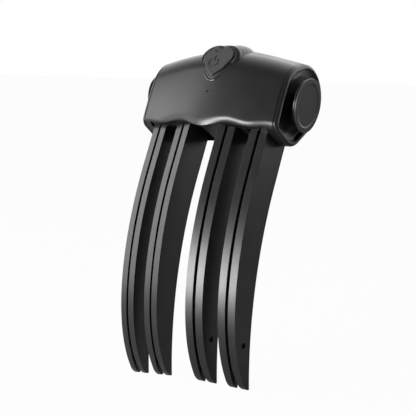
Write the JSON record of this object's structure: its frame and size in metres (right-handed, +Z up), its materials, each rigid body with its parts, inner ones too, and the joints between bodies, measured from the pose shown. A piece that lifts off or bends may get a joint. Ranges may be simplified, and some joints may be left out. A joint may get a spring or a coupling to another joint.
{
  "type": "cordless volumizing hair iron",
  "caption": "Cordless hair iron: a palm-sized head with curved heated finger pairs whose slots open when its end buttons are squeezed.",
  "frame": {"origin": "under the middle of the bounding box, on the plane that the finger tips stand on", "axes": "+X along the head to the wearer-side end shown at the right, +Y from the curved front of the fingers to the back of the head, +Z up with the fingers pointing down"},
  "size_m": [0.0868, 0.0768, 0.1594],
  "materials": {
    "shell": "satin black",
    "ring": "gloss black",
    "button": "gloss black",
    "blade": "satin black",
    "strip": "matte black",
    "heat_plate": "ceramic coated, dark",
    "film": "amber film",
    "inner_plastic": "matte",
    "light": "clear to milky",
    "board": "solder mask",
    "steel": "plain",
    "nickel": "nickel plated",
    "cell": "shrink sleeve"
  },
  "bodies": {
    "housing": {"front_shell": "shell", "rear_shell": "shell", "end_ring_left": "ring", "end_ring_right": "ring", "button_bezel": "ring", "chassis": "inner_plastic", "light_pipe": "light", "circuit_board": "board", "switch_body": "inner_plastic", "board_screws": "steel", "battery_tray": "inner_plastic", "battery_cell": "cell", "battery_tabs": "nickel", "charge_port": "nickel", "charge_board": "board", "shell_screws": "steel", "guide_rods": "steel", "fixed_blade_1": "blade", "fixed_blade_2": "blade", "fixed_blade_3": "blade", "fixed_blade_4": "blade", "fixed_heat_plates": "heat_plate", "fixed_heater_films": "film", "fixed_back_strips": "strip", "left_springs": "steel", "right_springs": "steel"},
    "left_carriage": {"sliding_blade_1": "blade", "sliding_blade_2": "blade", "left_bridge": "inner_plastic", "left_heat_plates": "heat_plate", "left_heater_films": "film", "left_back_strips": "strip"},
    "right_carriage": {"sliding_blade_3": "blade", "sliding_blade_4": "blade", "right_bridge": "inner_plastic", "right_heat_plates": "heat_plate", "right_heater_films": "film", "right_back_strips": "strip"},
    "left_button": {"button_left": "button", "cap_left": "button", "clip_left": "steel"},
    "right_button": {"button_right": "button", "cap_right": "button", "clip_right": "steel"},
    "power_button": {"power_button": "button", "switch_plunger": "inner_plastic"}
  },
  "joints": [
    {"name": "left_carriage_slide", "type": "slide", "parent": "housing", "child": "left_carriage", "axis": [1, 0, 0], "range_m": [0, 0.00298], "stiffness_N_per_m": 700, "springref_m": -0.001, "deforming": ["left_springs"]},
    {"name": "right_carriage_slide", "type": "slide", "parent": "housing", "child": "right_carriage", "axis": [-1, 0, 0], "range_m": [0, 0.00298], "stiffness_N_per_m": 700, "springref_m": -0.001, "deforming": ["right_springs"]},
    {"name": "left_button_press", "type": "slide", "parent": "housing", "child": "left_button", "axis": [0.9925, -0.0271, 0.119], "range_m": [0, 0.003], "stiffness_N_per_m": 200, "springref_m": -0.001},
    {"name": "right_button_press", "type": "slide", "parent": "housing", "child": "right_button", "axis": [-0.9925, -0.0271, 0.119], "range_m": [0, 0.003], "stiffness_N_per_m": 200, "springref_m": -0.001},
    {"name": "power_button_press", "type": "slide", "parent": "housing", "child": "power_button", "axis": [0, 0.766, -0.6428], "range_m": [0, 0.0006], "stiffness_N_per_m": 800, "springref_m": -0.0006}
  ],
  "couplings": [
    {"joint": "left_button_press", "follows": "left_carriage_slide", "ratio": 1.0075},
    {"joint": "right_button_press", "follows": "right_carriage_slide", "ratio": 1.0075}
  ]
}
